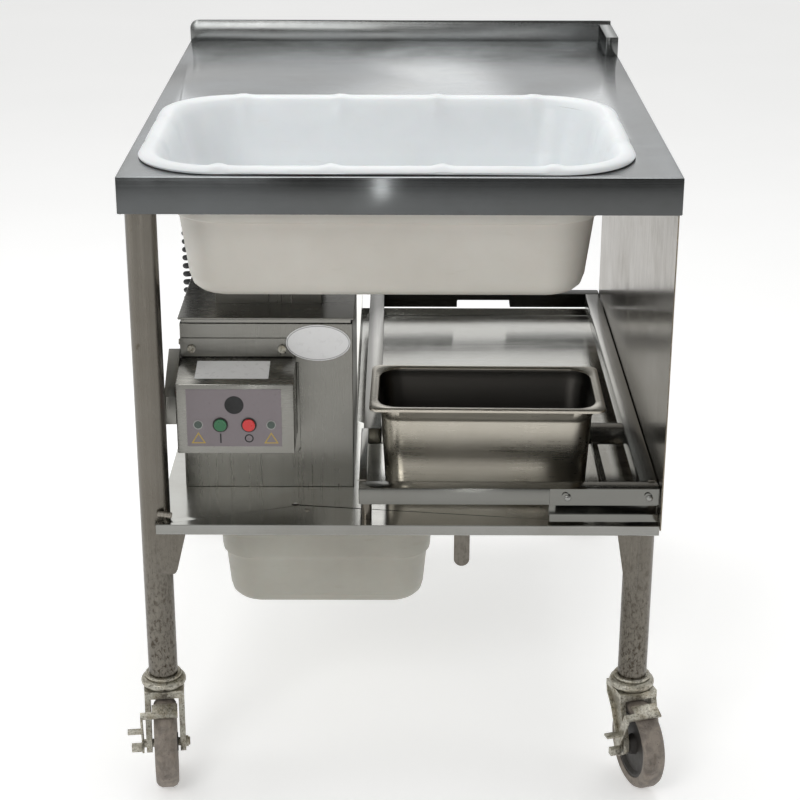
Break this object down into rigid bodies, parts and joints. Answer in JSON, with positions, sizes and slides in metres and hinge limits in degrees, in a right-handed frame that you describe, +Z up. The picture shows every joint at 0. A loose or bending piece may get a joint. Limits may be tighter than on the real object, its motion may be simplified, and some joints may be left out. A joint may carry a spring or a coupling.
{
  "type": "mobile breading table",
  "caption": "Mobile stainless breading table with a lift-out breading tub, a motor driven sifter, an undershelf with a slide-out pan rack, a catch tub and swivel casters.",
  "frame": {"origin": "on the floor under the middle of the table", "axes": "+X to the right seen from the front, -Y towards the user at the front, +Z up"},
  "size_m": [0.7734, 1.0152, 0.935],
  "materials": {
    "brushed_sheet": "brushed stainless sheet",
    "tube_steel": "dull brushed stainless tube",
    "zinc": "dull zinc plating",
    "white_plastic": "satin food-safe plastic",
    "beige_plastic": "satin food-safe plastic",
    "pan_steel": "satin stainless",
    "tread": "grey-brown cast polyurethane",
    "hub": "dark grey",
    "overlay": "grey membrane",
    "label": "blank plates",
    "black_plastic": "black",
    "green": "green push button",
    "red": "red push button",
    "lamp": "dark indicator lens",
    "motor_paint": "grey painted casting",
    "cord": "black cord jacket"
  },
  "bodies": {
    "table": {"table_top": "brushed_sheet", "backsplash": "brushed_sheet", "shelf": "brushed_sheet", "side_panel": "brushed_sheet", "leg_front_left": "tube_steel", "leg_front_right": "tube_steel", "leg_rear_left": "tube_steel", "leg_rear_right": "tube_steel", "leg_gussets": "tube_steel", "tub_rails": "tube_steel", "caster_stems": "zinc", "housing_shell": "brushed_sheet", "housing_lid": "brushed_sheet", "inlet_neck": "brushed_sheet", "control_box": "brushed_sheet", "control_overlay": "overlay", "box_bracket": "brushed_sheet", "blank_plates": "label", "indicator_lamps": "lamp", "housing_bolts": "zinc", "drive_motor": "motor_paint", "gearbox": "motor_paint", "shaft_bearings": "zinc", "screen_trough": "brushed_sheet", "outlet_chute": "brushed_sheet", "strain_relief": "black_plastic", "cord_hook": "brushed_sheet", "cord_leads": "cord", "curly_cord": "cord", "plug": "black_plastic"},
    "rack": {"rack_channel": "brushed_sheet", "rack_front_bar": "brushed_sheet", "rack_rear_bar": "brushed_sheet", "rack_left_rail": "brushed_sheet", "rack_right_rail": "brushed_sheet", "rack_cross_bar": "brushed_sheet", "rack_plate": "brushed_sheet", "rack_posts": "brushed_sheet"},
    "agitator": {"paddle_shaft": "brushed_sheet", "paddle_blades": "brushed_sheet"},
    "start_key": {"start_button": "green"},
    "stop_key": {"stop_button": "red"},
    "breading_tub": {"upper_tub": "white_plastic"},
    "drain_stopper": {"tub_plug": "white_plastic"},
    "catch_tub": {"lower_tub": "beige_plastic"},
    "dough_pan": {"pan": "pan_steel"},
    "caster_front_left": {"fork_front_left": "zinc"},
    "wheel_front_left": {"tread_front_left": "tread", "hub_front_left": "hub"},
    "brake_lever_front_left": {"brake_front_left": "zinc"},
    "caster_front_right": {"fork_front_right": "zinc"},
    "wheel_front_right": {"tread_front_right": "tread", "hub_front_right": "hub"},
    "brake_lever_front_right": {"brake_front_right": "zinc"},
    "caster_rear_left": {"fork_rear_left": "zinc"},
    "wheel_rear_left": {"tread_rear_left": "tread", "hub_rear_left": "hub"},
    "caster_rear_right": {"fork_rear_right": "zinc"},
    "wheel_rear_right": {"tread_rear_right": "tread", "hub_rear_right": "hub"}
  },
  "joints": [
    {"name": "rack_slide", "type": "slide", "parent": "table", "child": "rack", "axis": [0, -1, 0], "range_m": [0, 0.3]},
    {"name": "pan_lift", "type": "slide", "parent": "rack", "child": "dough_pan", "axis": [0, 0, 1], "range_m": [0, 0.12]},
    {"name": "breading_tub_lift", "type": "slide", "parent": "table", "child": "breading_tub", "axis": [0, 0, 1], "range_m": [0, 0.25]},
    {"name": "drain_stopper_lift", "type": "slide", "parent": "breading_tub", "child": "drain_stopper", "axis": [0, 0, 1], "range_m": [0, 0.12]},
    {"name": "catch_tub_slide", "type": "slide", "parent": "table", "child": "catch_tub", "axis": [0, -1, 0], "range_m": [0, 0.3]},
    {"name": "agitator_spin", "type": "hinge", "parent": "table", "child": "agitator", "pos_m": [-0.185, -0.18, 0.575], "axis": [0, 1, 0], "continuous": true},
    {"name": "start_press", "type": "slide", "parent": "table", "child": "start_key", "axis": [0, 1, 0], "range_m": [0, 0.003], "stiffness_N_per_m": 800},
    {"name": "stop_press", "type": "slide", "parent": "table", "child": "stop_key", "axis": [0, 1, 0], "range_m": [0, 0.003], "stiffness_N_per_m": 800},
    {"name": "swivel_front_left", "type": "hinge", "parent": "table", "child": "caster_front_left", "pos_m": [-0.337, -0.41, 0.14], "axis": [0, 0, 1], "continuous": true},
    {"name": "wheel_spin_front_left", "type": "hinge", "parent": "caster_front_left", "child": "wheel_front_left", "pos_m": [-0.33286, -0.44375, 0.0635], "axis": [0.9925, 0.1219, 0], "continuous": true},
    {"name": "brake_front_left", "type": "hinge", "parent": "caster_front_left", "child": "brake_lever_front_left", "pos_m": [-0.33286, -0.44375, 0.0635], "axis": [0.9925, 0.1219, 0], "range_deg": [-12, 0]},
    {"name": "swivel_front_right", "type": "hinge", "parent": "table", "child": "caster_front_right", "pos_m": [0.3342, -0.41, 0.14], "axis": [0, 0, 1], "continuous": true},
    {"name": "wheel_spin_front_right", "type": "hinge", "parent": "caster_front_right", "child": "wheel_front_right", "pos_m": [0.34414, -0.44251, 0.0635], "axis": [0.9563, 0.2924, 0], "continuous": true},
    {"name": "brake_front_right", "type": "hinge", "parent": "caster_front_right", "child": "brake_lever_front_right", "pos_m": [0.34414, -0.44251, 0.0635], "axis": [0.9563, 0.2924, 0], "range_deg": [-12, 0]},
    {"name": "swivel_rear_left", "type": "hinge", "parent": "table", "child": "caster_rear_left", "pos_m": [-0.337, 0.41, 0.14], "axis": [0, 0, 1], "continuous": true},
    {"name": "wheel_spin_rear_left", "type": "hinge", "parent": "caster_rear_left", "child": "wheel_rear_left", "pos_m": [-0.337, 0.444, 0.0635], "axis": [-1, 0, 0], "continuous": true},
    {"name": "swivel_rear_right", "type": "hinge", "parent": "table", "child": "caster_rear_right", "pos_m": [0.3342, 0.41, 0.14], "axis": [0, 0, 1], "continuous": true},
    {"name": "wheel_spin_rear_right", "type": "hinge", "parent": "caster_rear_right", "child": "wheel_rear_right", "pos_m": [0.34857, 0.44081, 0.0635], "axis": [-0.9063, 0.4226, 0], "continuous": true}
  ]
}
